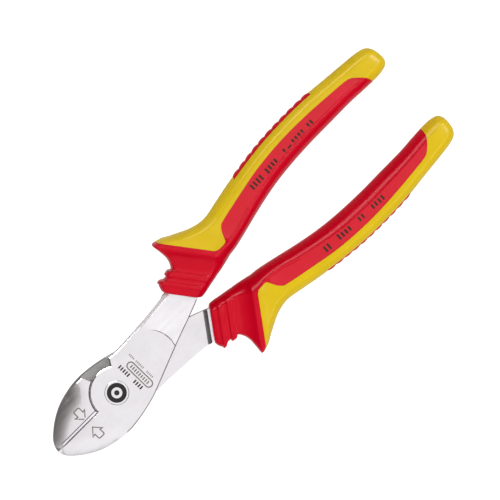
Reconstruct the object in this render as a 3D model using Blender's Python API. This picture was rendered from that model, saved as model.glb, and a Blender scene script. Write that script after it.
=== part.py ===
"""Insulated heavy-duty diagonal cutting pliers, 180 mm long, closed.

Both halves of the tool are the same forging with the same moulded grip. The second half is the
first one turned half a turn about the tool's centreline, so every shape is built once.

Frame: the origin is on the pivot axis, in the plane of the joint's rear face. +X runs along the
centreline from the pivot to the grips, +Z runs along the pivot axis to the front face.
The shapes are modelled in millimetres about the mid-plane, z = 0 halfway through the joint, for
the front half: its jaw lies at -Y and its handle at +Y.
"""

import math

import bmesh
import bpy
from mathutils import Matrix, Vector

MM = 0.001

# Overall sizes, in millimetres.
JAW_TIP_X = -29.5
GRIP_END_X = 150.5
HALF_THICK = 5.5  # half the joint's thickness
SLIDE_GAP = 0.08  # from the mid-plane to each lever's sliding face
EDGE_GAP = 0.06  # from the centreline to each closed cutting edge
FIT_GAP = 0.15  # between a moulding and what it is moulded on

# Joint.
DISC_RADIUS = 9.6  # the lever's round boss about the pivot
RECESS_RADIUS = 10.0  # the hollow in the other lever's jaw, which clears the boss
NOTCH_ANGLE = 58.0  # where the boss ends and the handle's shoulder begins
SHOULDER_ANGLE = 111.4  # the jaw's shoulder, which stops the handle's when the tool is open
OUTSIDE = 20.0  # reach of a cutter past the metal
RIVET_RADIUS = 3.5
RIVET_HEAD_RADIUS = 4.3
RIVET_HEAD_DEPTH = 1.6
RIVET_GAP = 0.08
ROUND_SIDES = 48

# Jaw.
FACE_START_X = -12.0  # the ground face leaves the joint's face here, beside the cut
FACE_SLOPE = 0.10
FACE_BEND = 0.059  # curve of the line where the two faces meet
FACE_BEND_START = 3.0
EDGE_ROUND_X = -7.0  # the outer edge is rounded ahead of this
EDGE_ROUND_WIDTH = 6.5
EDGE_FALL = 1.7
FACE_STATIONS = 2
FACE_COLUMNS = 6
CUT_BEVELS = {1: (0.35, 0.6), -1: (1.1, 0.5)}  # width and depth beside the cut, by face

# Neck and tang of the lever.
SLANT = math.radians(36.6)  # the collar's planes, turned from the section square to X
SLANT_NORMAL = Vector((math.cos(SLANT), math.sin(SLANT)))
MOUTH_AT = 36.9  # where the grip starts, along the slanted normal
RISER_FOOT_AT = 34.3  # where the metal starts to rise from the sliding face to the tang
RISER_TOP_AT = 36.1
TANG_HALF_THICK = 3.2
BOSS_CENTRE_X = 17.0  # the ground face of the joint ends on an arc about this point
BOSS_CENTRE_Y = 0.2
BOSS_RADIUS = 10.0
NECK_Z = 5.0  # the neck's front face just past that arc
NECK_END_Z = 3.2

# Outlines, as (x, y) points that a smooth curve passes through.
JAW_OUTER = [(-29.3, -1.4), (-28.3, -3.4), (-26, -5.7), (-22, -8.6), (-17, -11.0), (-11, -12.4), (-5, -12.7)]
JOINT_EDGE = [(-5, -12.7), (0, -12.1), (5, -11.1), (9, -10.0), (14, -8.1)]
NECK_INNER = [(14, -8.1), (25, -3.9), (30, -2.1), (36.3, 0.0), (43.2, 2.5)]
NECK_OUTER = [(6.8, 10.7), (8.5, 10.35), (13, 10.25), (20, 10.65), (28, 11.15), (37.0, 12.1)]
TANG_OUTER = [(41, 12.6), (50, 12.6), (60, 14.6), (72, 18.0), (85, 21.0), (98, 22.6), (112, 23.0), (126, 22.5), (138, 21.6)]
TANG_INNER = [(138, 15.6), (126, 15.9), (112, 16.0), (98, 15.6), (85, 13.8), (72, 10.8), (60, 7.8), (50, 5.2)]
TANG_END = (140.5, 18.5)

# The grip's envelope: outer point, inner point, half thickness, at each section.
GRIP_SECTIONS = [
    ((37.3, 12.6), (43.6, 2.2), 5.3),
    ((37.2, 14.6), (44.6, 1.7), 6.2),
    ((38.3, 16.2), (48.0, 2.1), 6.8),
    ((40.6, 15.5), (50.6, 2.7), 6.3),
    ((42.2, 16.9), (52.6, 3.0), 6.9),
    ((44.6, 16.3), (54.9, 3.5), 6.4),
    ((46.1, 20.3), (58.2, 4.1), 7.4),
    ((46.6, 25.1), (62.0, 4.85), 9.0),
    ((47.3, 27.2), (63.6, 5.1), 9.6),
    ((49.3, 26.9), (65.0, 5.3), 9.4),
    ((54.0, 24.4), (68.0, 5.9), 8.6),
    ((59.0, 22.1), (71.5, 6.75), 8.1),
    ((65.0, 20.75), (75.0, 7.6), 7.9),
    ((72.0, 21.75), (80.0, 8.8), 7.9),
    ((80.0, 23.3), (86.0, 10.1), 8.0),
    ((90.0, 24.75), (93.0, 11.25), 8.0),
    ((100.0, 25.75), (101.0, 12.1), 8.0),
    ((111.0, 26.0), (111.0, 12.5), 8.0),
    ((121.0, 25.7), (121.0, 12.5), 7.9),
    ((131.0, 24.7), (131.0, 12.5), 7.7),
    ((138.5, 23.9), (138.0, 12.1), 7.5),
    ((144.5, 23.3), (144.5, 12.0), 7.0),
    ((148.0, 22.4), (148.2, 12.5), 6.2),
    ((149.6, 21.0), (150.0, 13.6), 4.8),
    ((150.2, 19.6), (150.5, 15.2), 2.6),
]
# A section's upper half from the inner point to the outer one: (share of width, share of thickness).
SECTION = [(0, 0), (0.02, 0.40), (0.18, 0.86), (0.40, 0.97), (0.60, 1.0), (0.80, 0.90), (0.93, 0.64), (0.985, 0.33), (1, 0)]
CORE_INSET = 2.0  # thickness of the red layer over the core

# Plan of the red overmould: everything on the inner side of this line, and all that is ahead of
# the guard's crest.
GUARD_LINE = [(44.4, 31.0), (59.4, 10.8)]
RED_EDGE = [
    (60.6, 10.05), (63.6, 9.95), (64.9, 10.5), (66.5, 13.4), (68.0, 15.2), (70.0, 16.0), (80.0, 18.1),
    (90.0, 19.95), (100.0, 20.95), (110.0, 21.2), (120.0, 20.8), (130.0, 20.0), (135.8, 19.3), (138.6, 17.5),
    (141.2, 14.4), (142.0, 11.0),
]

# The ribbed inlay on the grip's outer side.
RIB_START, RIB_END = 83.0, 123.0
RIB_COUNT = 11
RIB_HEIGHT = 0.45
RIB_HALF_WIDTH = 4.2
RIB_DEPTH = 1.3


def clear_scene():
    for item in list(bpy.data.objects):
        bpy.data.objects.remove(item)


def material(name, colour, roughness, metallic):
    made = bpy.data.materials.new(name)
    made.use_nodes = True
    shader = made.node_tree.nodes["Principled BSDF"]
    shader.inputs["Base Color"].default_value = (*colour, 1.0)
    shader.inputs["Roughness"].default_value = roughness
    shader.inputs["Metallic"].default_value = metallic
    return made


def smooth(points, steps):
    """A Catmull-Rom curve through the points, with this many steps to each stretch."""
    ends = [2 * Vector(points[0]) - Vector(points[1])]
    control = ends + [Vector(p) for p in points] + [2 * Vector(points[-1]) - Vector(points[-2])]
    found = []
    for a, b, c, d in zip(control, control[1:], control[2:], control[3:]):
        for step in range(steps):
            t = step / steps
            found.append(
                0.5 * (2 * b + (c - a) * t + (2 * a - 5 * b + 4 * c - d) * t**2 + (3 * b - a - 3 * c + d) * t**3)
            )
    return found + [Vector(points[-1])]


def arc(radius, start, end, count, centre=(0.0, 0.0)):
    """Points on a circle, from one angle to another in degrees."""
    angles = [math.radians(start + (end - start) * i / count) for i in range(count + 1)]
    return [Vector((centre[0] + radius * math.cos(a), centre[1] + radius * math.sin(a))) for a in angles]


def polar(radius, degrees):
    return Vector((radius * math.cos(math.radians(degrees)), radius * math.sin(math.radians(degrees))))


def on_slant(distance, y):
    """The point at this y in the slanted plane at this distance along its normal."""
    return Vector(((distance - SLANT_NORMAL.y * y) / SLANT_NORMAL.x, y))


def new_object(name, mesh_builder):
    """An object whose mesh is what the bmesh holds, with its faces pointing out."""
    bmesh.ops.recalc_face_normals(mesh_builder, faces=mesh_builder.faces)
    mesh = bpy.data.meshes.new(name)
    mesh_builder.to_mesh(mesh)
    mesh_builder.free()
    item = bpy.data.objects.new(name, mesh)
    bpy.context.scene.collection.objects.link(item)
    return item


def loft(name, rings):
    """A closed solid through rings of (x, y, z) points, each ring with as many points."""
    shape = bmesh.new()
    made = [[shape.verts.new(Vector(p) * MM) for p in ring] for ring in rings]
    count = len(made[0])
    for low, high in zip(made, made[1:]):
        for i in range(count):
            j = (i + 1) % count
            shape.faces.new((low[i], low[j], high[j], high[i]))
    shape.faces.new(made[0])
    shape.faces.new(made[-1])
    return new_object(name, shape)


def prism(name, outline, low, high, high_outline=None):
    """An outline extruded from z = low to z = high. Each may be a number or a function of (x, y)."""

    def level(height, p):
        return height(p.x, p.y) if callable(height) else height

    top = high_outline or outline
    return loft(
        name,
        [[(p.x, p.y, level(low, p)) for p in outline], [(p.x, p.y, level(high, p)) for p in top]],
    )


def turned(name, profile, sides=ROUND_SIDES):
    """A solid of revolution about Z from (radius, z) points. The ends are on the axis."""
    rings = [
        [(r * math.cos(2 * math.pi * i / sides), r * math.sin(2 * math.pi * i / sides), z) for i in range(sides)]
        for r, z in profile
    ]
    return loft(name, rings)


def combine(item, other, operation):
    """Applies a Boolean of item with other, and removes other."""
    modifier = item.modifiers.new(operation.title(), "BOOLEAN")
    modifier.operation = operation
    modifier.object = other
    bpy.context.view_layer.update()
    graph = bpy.context.evaluated_depsgraph_get()
    result = bpy.data.meshes.new_from_object(item.evaluated_get(graph))
    item.modifiers.clear()
    item.data = result
    bpy.data.objects.remove(other)
    return item


# ---- lever ----


def lever_outline():
    """The forging's plan, from the jaw's tip round to the tip again."""
    cut = [Vector((JAW_TIP_X, -EDGE_GAP)), Vector((-DISC_RADIUS, -EDGE_GAP))]
    disc = arc(DISC_RADIUS, 179.6, NOTCH_ANGLE, 14)
    outer = smooth(NECK_OUTER, 2)
    tang = smooth([NECK_OUTER[-1], *TANG_OUTER], 2)[1:]
    back = smooth([*TANG_INNER, NECK_INNER[-1]], 2)
    neck = smooth(NECK_INNER[::-1], 2)[1:]
    joint = smooth(JOINT_EDGE[::-1], 2)[1:]
    jaw = smooth(JAW_OUTER[::-1], 3)[1:]
    return cut + disc + outer + tang + [Vector(TANG_END)] + back + neck + joint + jaw


def sliding_cutter():
    """What is removed behind the front lever's sliding face, so that the other lever fits there."""
    def outline(riser_at):
        hollow = arc(RECESS_RADIUS, 179.6, 360 - SHOULDER_ANGLE, 14)
        shoulder = polar(OUTSIDE, 360 - SHOULDER_ANGLE)
        riser = [on_slant(riser_at, -30.0), on_slant(riser_at, 25.0)]
        corner = [Vector((-2.0 * DISC_RADIUS, 25.0)), Vector((-2.0 * DISC_RADIUS, 0.4))]
        return hollow + [shoulder] + riser + corner + [Vector((-RECESS_RADIUS, 0.4))]

    rise = (RISER_TOP_AT - RISER_FOOT_AT) * (HALF_THICK + 1.0 + SLIDE_GAP) / (TANG_HALF_THICK + SLIDE_GAP)
    return prism(
        "sliding_cutter",
        outline(RISER_FOOT_AT + rise),
        -HALF_THICK - 1.0,
        SLIDE_GAP,
        outline(RISER_FOOT_AT),
    )


def neck_cutter():
    """What is removed in front of the neck, past the ground face of the joint."""
    start = BOSS_CENTRE_X + BOSS_RADIUS
    fall = (NECK_Z - NECK_END_Z) / (on_slant(MOUTH_AT, 8.0).x - start)
    rim = arc(BOSS_RADIUS, -90, 90, 14, (BOSS_CENTRE_X, BOSS_CENTRE_Y))
    corners = [(BOSS_CENTRE_X, OUTSIDE), (50.0, OUTSIDE), (50.0, -OUTSIDE), (BOSS_CENTRE_X, -OUTSIDE)]
    outline = rim + [Vector(p) for p in corners]
    return prism("neck_cutter", outline, lambda x, _y: NECK_Z - fall * (x - start), HALF_THICK + 3.0)


def tang_cutter(side, start):
    """What is removed beyond the tang's face on one side."""
    plan = [on_slant(start, -30), Vector((GRIP_END_X, -30)), Vector((GRIP_END_X, 40)), on_slant(start, 40)]
    low, high = sorted((side * TANG_HALF_THICK, side * (HALF_THICK + 1.0)))
    return prism("tang_cutter", plan, low, high)


def jaw_fall(x, y, edge):
    """How far the jaw's ground face lies below the joint's at (x, y), edge from the outline."""
    run = FACE_START_X - x + FACE_BEND * (abs(y) - FACE_BEND_START) ** 2
    rounding = min(1.0, max(0.0, (EDGE_ROUND_X - x) / 6.0))
    return FACE_SLOPE * run + rounding * EDGE_FALL * max(0.0, 1.0 - edge / EDGE_ROUND_WIDTH) ** 2


def jaw_face_cutter(side):
    """What is removed from one face of the jaw. The face falls towards the tip and the outer edge."""
    past = 1.2
    back, tip = JAW_OUTER[-1][0], JAW_TIP_X + 2.5
    spokes = [(Vector((JAW_TIP_X - 1.5, 1.0)), Vector((JAW_TIP_X - 1.8, -2.6)))]
    for p in smooth(JAW_OUTER, FACE_STATIONS):
        root = Vector((back + (tip - back) * (p.x - back) / (JAW_OUTER[0][0] - back), 1.0))
        spokes.append((root, p + (p - root).normalized() * past))
    rings = []
    for root, rim in spokes:
        line = [root + (rim - root) * i / FACE_COLUMNS for i in range(FACE_COLUMNS + 1)]
        face = [HALF_THICK - max(-1.0, jaw_fall(q.x, q.y, (rim - q).length - past)) for q in line]
        low = [(q.x, q.y, side * z) for q, z in zip(line, face)]
        rings.append(low + [(q.x, q.y, side * (HALF_THICK + 2.0)) for q in (line[-1], line[0])])
    return loft("jaw_face_cutter", rings)


def edge_bevel_cutter(side, width, depth):
    """The bevel beside the cutting edge on one face, which follows the fall of the jaw's face."""
    rings = []
    for x in (JAW_TIP_X - 1.0, -DISC_RADIUS - 0.15):
        face = HALF_THICK - max(0.0, FACE_SLOPE * (FACE_START_X - x))
        profile = [(0.5, face - depth * (width + 0.5) / width), (-width, face), (-width, face + 3.0), (0.5, face + 3.0)]
        rings.append([(x, y, side * z) for y, z in profile])
    return loft("edge_bevel_cutter", rings)


def rivet_profile(gap):
    """(radius, z) of the rivet, or of the hole that it leaves with this gap."""
    end = HALF_THICK + (1.0 if gap else 0.0)
    neck = HALF_THICK - RIVET_HEAD_DEPTH
    head = RIVET_HEAD_RADIUS + gap
    shank = RIVET_RADIUS + gap
    return [(head, -end), (head, -HALF_THICK + 0.3), (shank, -neck), (shank, neck), (head, HALF_THICK - 0.3), (head, end)]


def lever_solid():
    lever = prism("lever", lever_outline(), -HALF_THICK, HALF_THICK)
    combine(lever, sliding_cutter(), "DIFFERENCE")
    combine(lever, neck_cutter(), "DIFFERENCE")
    combine(lever, tang_cutter(-1, RISER_TOP_AT), "DIFFERENCE")
    combine(lever, tang_cutter(1, MOUTH_AT - 0.3), "DIFFERENCE")
    for side, (width, depth) in CUT_BEVELS.items():
        combine(lever, jaw_face_cutter(side), "DIFFERENCE")
        combine(lever, edge_bevel_cutter(side, width, depth), "DIFFERENCE")
    combine(lever, turned("rivet_hole", rivet_profile(RIVET_GAP)), "DIFFERENCE")
    return lever


# ---- grip ----


def section_ring(outer, inner, half_thick, inset=0.0):
    """One section of the grip as (x, y, z) points, all round, drawn in by inset."""
    outer, inner = Vector(outer), Vector(inner)
    width = (outer - inner).length
    across = (outer - inner) / width
    start, width = inner + across * inset, width - 2 * inset
    thick = half_thick - inset
    upper = [(start + across * width * u, thick * v) for u, v in SECTION]
    return [(p.x, p.y, z) for p, z in upper] + [(p.x, p.y, -z) for p, z in upper[-2:0:-1]]


def envelope(name, inset=0.0, sections=None):
    return loft(name, [section_ring(*row, inset) for row in sections or GRIP_SECTIONS])


def core_sections():
    """The core under the red layer: a close tube along the collar, then the envelope drawn in."""
    collar = [
        ((39.2, 13.4), (45.8, 1.9 + 1.5), 5.4),
        ((44.0, 13.9), (52.0, 4.6), 5.4),
        ((50.0, 14.6), (57.5, 5.8), 5.6),
        ((56.0, 15.6), (63.0, 7.2), 5.8),
    ]
    rest = []
    for outer, inner, thick in GRIP_SECTIONS[11:-2]:
        across = (Vector(outer) - Vector(inner)).normalized()
        rest.append((Vector(outer) - across * CORE_INSET, Vector(inner) + across * CORE_INSET, thick - CORE_INSET))
    return collar + rest


def grown(sections, by):
    """The same sections, larger by this much all round."""
    found = []
    for outer, inner, thick in sections:
        across = (Vector(outer) - Vector(inner)).normalized()
        found.append((Vector(outer) + across * by, Vector(inner) - across * by, thick + by))
    return found


def lengthened(sections, by):
    """The same sections, with each end moved out by this much."""
    found = [list(row) for row in sections]
    for end, beside, sign in ((0, 1, -1), (-1, -2, -1)):
        middle = (Vector(sections[end][0]) + Vector(sections[end][1])) / 2
        other = (Vector(sections[beside][0]) + Vector(sections[beside][1])) / 2
        step = (middle - other).normalized() * by
        found[end][0] = Vector(sections[end][0]) + step
        found[end][1] = Vector(sections[end][1]) + step
    return found


def red_zone(gap):
    """A prism over the red part of the plan, its edge moved by gap towards the yellow."""
    edge = [Vector(p) for p in GUARD_LINE] + smooth(RED_EDGE, 2)
    shifted = []
    for i, p in enumerate(edge):
        along = edge[min(i + 1, len(edge) - 1)] - edge[max(i - 1, 0)]
        normal = Vector((-along.y, along.x)).normalized()
        shifted.append(p + normal * gap)
    outline = shifted + [Vector((RED_EDGE[-1][0] + gap, -10.0)), Vector((25.0, -10.0)), Vector((25.0, 31.0))]
    return prism("red_zone", outline, -OUTSIDE, OUTSIDE)


def tang_hole():
    """The tang with a gap round it."""
    outer = smooth([NECK_OUTER[-2], NECK_OUTER[-1], *TANG_OUTER], 2)
    inner = smooth([*TANG_INNER, NECK_INNER[-1], NECK_INNER[-2]], 2)
    outline = outer + [Vector(TANG_END)] + inner
    shifted = []
    for i, p in enumerate(outline):
        along = outline[(i + 1) % len(outline)] - outline[i - 1]
        normal = Vector((-along.y, along.x)).normalized()
        shifted.append(p + normal * FIT_GAP)
    return prism("tang_hole", shifted, -TANG_HALF_THICK - FIT_GAP, TANG_HALF_THICK + FIT_GAP)


def outer_y(x):
    """The envelope's outer edge at this x, along the straight part of the grip."""
    rows = [Vector(row[0]) for row in GRIP_SECTIONS]
    for a, b in zip(rows[9:], rows[10:]):
        if a.x <= x <= b.x:
            return a.y + (b.y - a.y) * (x - a.x) / (b.x - a.x)
    raise ValueError(f"the grip's outer edge has no point at x = {x}")


def rib_strip(gap):
    """The ribbed inlay or, with a gap, the pocket that it sits in."""
    rise = gap if gap else RIB_HEIGHT
    steps = RIB_COUNT * 4
    rings = []
    for step in range(steps + 1):
        x = RIB_START - gap + (RIB_END - RIB_START + 2 * gap) * step / steps
        bump = 2.0 if gap else rise * math.sin(math.pi * RIB_COUNT * step / steps) ** 2
        half = RIB_HALF_WIDTH + gap
        foot = outer_y(x) - RIB_DEPTH - gap
        top = outer_y(x) + bump
        crown = [(half, 1.05), (0.75 * half, 0.55), (0.35 * half, 0.12), (0.0, 0.0)]
        side = [(x, top - drop, z) for z, drop in crown]
        rings.append(
            [(x, foot, half)] + side + [(x, y, -z) for x, y, z in side[-2::-1]] + [(x, foot, -half)]
        )
    return loft("rib_strip", rings)


def overmould_solid():
    red = envelope("grip_overmould")
    combine(red, red_zone(0.0), "INTERSECT")
    combine(red, envelope("core", sections=lengthened(grown(core_sections(), FIT_GAP), FIT_GAP)), "DIFFERENCE")
    combine(red, tang_hole(), "DIFFERENCE")
    return red


def core_solid():
    yellow = envelope("grip_core")
    combine(yellow, red_zone(FIT_GAP), "DIFFERENCE")
    combine(yellow, envelope("core", sections=core_sections()), "UNION")
    combine(yellow, tang_hole(), "DIFFERENCE")
    combine(yellow, rib_strip(FIT_GAP), "DIFFERENCE")
    return yellow


# ---- tool ----


def half_empty(name, flipped):
    """The frame of one half, on the pivot axis in the mid-plane."""
    empty = bpy.data.objects.new(name, None)
    empty.location = (0.0, 0.0, HALF_THICK * MM)
    empty.rotation_euler = (math.pi if flipped else 0.0, 0.0, 0.0)
    bpy.context.scene.collection.objects.link(empty)
    return empty


def place(solid, name, parent, finish):
    """A named piece with this solid's mesh, riding on a half of the tool."""
    item = bpy.data.objects.new(name, solid.data)
    if not item.data.materials:
        item.data.materials.append(finish)
        item.data.shade_smooth()
        item.data.set_sharp_from_angle(angle=math.radians(30))
    item.parent = parent
    bpy.context.scene.collection.objects.link(item)


def main():
    clear_scene()
    steel = material("forged_steel", (0.70, 0.69, 0.69), 0.32, 1.0)
    pin_steel = material("rivet_steel", (0.62, 0.62, 0.63), 0.28, 1.0)
    red = material("red_plastic", (0.70, 0.005, 0.02), 0.35, 0.0)
    yellow = material("yellow_plastic", (0.80, 0.55, 0.01), 0.35, 0.0)

    pieces = [
        (lever_solid(), "lever", steel),
        (core_solid(), "grip_core", yellow),
        (overmould_solid(), "grip_overmould", red),
        (rib_strip(0.0), "grip_rib_inlay", red),
    ]
    for half, flipped in (("front", False), ("back", True)):
        parent = half_empty(half + "_half", flipped)
        for solid, name, finish in pieces:
            place(solid, f"{half}_{name}", parent, finish)
        if half == "back":
            rivet = turned("rivet_blank", rivet_profile(0.0))
            place(rivet, "pivot_rivet", parent, pin_steel)
            bpy.data.objects.remove(rivet)
    for solid, _name, _finish in pieces:
        bpy.data.objects.remove(solid)


main()
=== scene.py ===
import math

import bmesh
import bpy
from mathutils import Matrix, Vector
from mathutils.bvhtree import BVHTree


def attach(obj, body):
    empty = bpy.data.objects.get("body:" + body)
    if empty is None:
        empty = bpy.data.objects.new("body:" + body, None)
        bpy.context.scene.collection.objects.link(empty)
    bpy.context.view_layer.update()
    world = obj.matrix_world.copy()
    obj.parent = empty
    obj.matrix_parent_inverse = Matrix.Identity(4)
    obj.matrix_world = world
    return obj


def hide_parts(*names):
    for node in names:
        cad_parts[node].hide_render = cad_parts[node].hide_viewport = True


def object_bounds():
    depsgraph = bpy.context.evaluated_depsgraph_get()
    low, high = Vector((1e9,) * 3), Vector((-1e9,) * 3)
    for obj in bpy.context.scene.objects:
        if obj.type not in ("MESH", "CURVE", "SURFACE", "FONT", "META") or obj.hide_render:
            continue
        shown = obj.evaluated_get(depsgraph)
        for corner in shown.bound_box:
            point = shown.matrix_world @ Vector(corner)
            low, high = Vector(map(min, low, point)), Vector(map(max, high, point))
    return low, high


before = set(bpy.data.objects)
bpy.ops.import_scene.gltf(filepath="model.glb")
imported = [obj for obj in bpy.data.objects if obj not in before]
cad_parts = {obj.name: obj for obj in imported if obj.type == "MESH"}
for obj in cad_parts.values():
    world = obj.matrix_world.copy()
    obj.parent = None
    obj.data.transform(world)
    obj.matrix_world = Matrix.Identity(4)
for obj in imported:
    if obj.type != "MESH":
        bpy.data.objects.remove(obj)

MM = 0.001
CAD_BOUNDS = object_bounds()

# ---------------------------------------------------------------------------------------------
# Dimensions, in millimetres. Shapes are made for the front half about the joint's mid-plane.
# ---------------------------------------------------------------------------------------------
HALF_THICK = 5.5
MID_Z = 5.5
JAW_TIP_X = -29.5
GRIP_END_X = 150.5
SLIDE_GAP = 0.08
EDGE_GAP = 0.06
DISC_RADIUS = 9.6
RECESS_RADIUS = 10.0
CUT_ANGLE = 179.6
NOTCH_ANGLE = 58.0
SHOULDER_ANGLE = 111.4
OUTSIDE = 20.0
WELL_OUTSIDE = 30.0
PAST_GRIPS = 40.0
ABOVE_FACE = 3.0
RIVET_HEAD_RADIUS = 4.3
RIVET_SHANK_RADIUS = 3.5
RIVET_HEAD_Z = 5.2
RIVET_SHANK_Z = 3.9
RIVET_GAP = 0.08
EDGE_CHAMFER = 0.4
EDGE_CHAMFER_DEPTH = 0.33

SLANT = math.radians(36.6)
SLANT_NORMAL = Vector((math.cos(SLANT), math.sin(SLANT)))
MOUTH_AT = 36.9
RISER_FOOT_AT = 34.3
RISER_TOP_AT = 36.1
RISER_BACK = 1.3
TANG_HALF_THICK = 3.2
BOSS_CENTRE_X = 17.0
BOSS_RADIUS = 10.0
BOSS_CENTRE_Y = 0.2
NECK_Z = 5.0
NECK_END_Z = 3.2

JAW_OUTER = [
    (-29.3, -1.4), (-28.3, -3.4), (-26, -5.7), (-22, -8.6), (-17, -11.0), (-11, -12.4), (-5, -12.7),
]
JOINT_EDGE = [(-5, -12.7), (0, -12.1), (5, -11.1), (9, -10.0), (14, -8.1)]
NECK_INNER = [(14, -8.1), (25, -3.9), (30, -2.1), (36.3, 0.0), (43.2, 2.5)]
NECK_OUTER = [(6.8, 10.7), (8.5, 10.35), (13, 10.25), (20, 10.65), (28, 11.15), (37.0, 12.1)]
TANG_OUTER = [(41, 12.6), (50, 12.6), (60, 14.6), (72, 18.0)]
TANG_INNER = [(72, 10.8), (60, 7.8), (50, 5.2)]
TANG_END = (73.0, 14.4)

FACE_START_X = -12.0
FACE_SLOPE = 0.10
FACE_BEND = 0.059
FACE_BEND_START = 3.0
EDGE_ROUND_X = -7.0
EDGE_ROUND_RUN = 6.0
EDGE_ROUND_WIDTH = 6.5
EDGE_FALL = 1.7
# Width and depth of the cutting edge's bevel, on the front and on the back of the jaw.
CUT_BEVELS = {1: (0.35, 0.6), -1: (1.2, 0.5)}
WIDE_BEVEL = 0.5
LAND_GROOVE, LAND_DROP = 0.4, 0.2
CUT_MARGIN = 0.5
NECK_SIDE_START = 26.8
NECK_CHAMFER = 0.38

# The collar: place along the slanted normal, outer y, inner y, half thickness, ridge's share of the
# width, flank's share of the width.
COLLAR = [
    (37.05, 11.2, 3, 4.6, 0.16, 0.12),
    (37.1, 12.3, 2.3, 5.2, 0.16, 0.12),
    (37.4, 13.3, 1.8, 5.65, 0.17, 0.12),
    (38.2, 14.4, 1.8, 5.95, 0.17, 0.11),
    (39.2, 15.5, 1.95, 6.15, 0.17, 0.1),
    (39.75, 15.95, 2.05, 6.35, 0.17, 0.09),
    (39.95, 16.45, 2.1, 6.55, 0.17, 0.09),
    (40.3, 16.7, 2.2, 6.66, 0.17, 0.09),
    (41, 16.75, 2.35, 6.66, 0.17, 0.09),
    (41.3, 16.5, 2.4, 6.58, 0.17, 0.09),
    (41.5, 16.15, 2.45, 6.4, 0.17, 0.09),
    (42.1, 15.95, 2.6, 6.3, 0.17, 0.09),
    (42.95, 16.1, 2.75, 6.38, 0.17, 0.09),
    (43.15, 16.6, 2.8, 6.68, 0.17, 0.09),
    (43.6, 17, 2.88, 6.8, 0.17, 0.08),
    (44.8, 17.25, 3.12, 6.8, 0.175, 0.08),
    (45.15, 17.1, 3.2, 6.7, 0.175, 0.08),
    (45.4, 16.7, 3.27, 6.52, 0.175, 0.09),
    (46, 16.9, 3.4, 6.42, 0.18, 0.09),
    (47, 17.8, 3.55, 6.45, 0.18, 0.08),
    (48.3, 19.2, 3.8, 6.75, 0.18, 0.08),
    (49.8, 21.3, 4.15, 7.35, 0.185, 0.07),
    (51, 23.5, 4.45, 8.1, 0.19, 0.06),
    (52, 25.45, 4.7, 9, 0.19, 0.05),
    (52.5, 26.5, 4.85, 9.45, 0.19, 0.05),
    (53, 27.25, 4.98, 9.6, 0.19, 0.06),
    (53.7, 27.5, 5.12, 9.62, 0.19, 0.08),
    (54.3, 27.35, 5.2, 9.55, 0.19, 0.11),
]
# The grip past the collar: outer point, inner point, half thickness, ridge's share, flank's share.
HANDLE = [
    ((49.8, 26.7), (65.5, 5.4), 9.3, 0.185, 0.18),
    ((52.0, 25.5), (67.2, 5.7), 8.9, 0.17, 0.26),
    ((55.0, 23.95), (69.0, 6.1), 8.5, 0.165, 0.30),
    ((60.0, 21.65), (72.0, 6.8), 8.05, 0.18, 0.33),
    ((65.5, 20.65), (75.5, 7.65), 7.9, 0.20, 0.33),
    ((72.0, 21.75), (80.0, 8.75), 7.9, 0.23, 0.33),
    ((80.0, 23.3), (86.0, 10.05), 8.0, 0.25, 0.33),
    ((90.0, 24.75), (93.0, 11.25), 8.0, 0.29, 0.32),
    ((100.0, 25.75), (101.0, 12.05), 8.0, 0.31, 0.32),
    ((111.0, 26.0), (111.0, 12.5), 8.0, 0.31, 0.32),
    ((121.0, 25.7), (121.0, 12.5), 7.9, 0.31, 0.32),
    ((131.0, 24.7), (131.0, 12.5), 7.75, 0.31, 0.33),
    ((138.5, 24.0), (138.0, 12.1), 7.5, 0.31, 0.34),
    ((144.0, 23.4), (144.5, 11.9), 7.0, 0.31, 0.35),
    ((147.2, 22.7), (147.6, 12.3), 6.4, 0.30, 0.36),
    ((148.8, 21.8), (149.3, 12.95), 5.6, 0.30, 0.38),
    ((149.7, 20.6), (150.1, 13.9), 4.5, 0.30, 0.40),
    ((150.2, 19.4), (150.5, 15.0), 3.0, 0.30, 0.40),
    ((150.4, 18.1), (150.6, 16.3), 1.3, 0.30, 0.40),
]
GUARD_LINE = [(44.8, 31.0), (59.8, 10.8)]
RED_EDGE = [
    (61.0, 10.05), (63.8, 9.95), (65.1, 10.5), (66.5, 13.4), (68.0, 15.2), (70.0, 16.0), (80.0, 18.1),
    (90.0, 19.95), (100.0, 20.95), (110.0, 21.2), (120.0, 20.8), (130.0, 20.0), (135.8, 19.3),
    (138.6, 17.5), (141.2, 14.4), (142.0, 11.0),
]
RIB_START, RIB_END, RIB_COUNT = 83.0, 123.0, 11
RIB_HEIGHT, RIB_HALF_WIDTH, RIB_DEPTH = 0.36, 4.2, 1.3
PANEL_START, PANEL_END = 66.0, 140.0
# The painted shade in the joint's pocket stops at this x.
POCKET_SHADE_END = 7.0


# ---------------------------------------------------------------------------------------------
# Mesh tools
# ---------------------------------------------------------------------------------------------
def link(name, mesh):
    item = bpy.data.objects.new(name, mesh)
    bpy.context.scene.collection.objects.link(item)
    return item


def finish_mesh(name, shape):
    bmesh.ops.recalc_face_normals(shape, faces=shape.faces)
    mesh = bpy.data.meshes.new(name)
    shape.to_mesh(mesh)
    shape.free()
    return link(name, mesh)


def loft(name, rings):
    """A closed solid through rings of points in millimetres."""
    shape = bmesh.new()
    made = [[shape.verts.new(Vector(p) * MM) for p in ring] for ring in rings]
    count = len(made[0])
    for low, high in zip(made, made[1:]):
        for i in range(count):
            j = (i + 1) % count
            shape.faces.new((low[i], low[j], high[j], high[i]))
    shape.faces.new(made[0])
    shape.faces.new(made[-1])
    return finish_mesh(name, shape)


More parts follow.
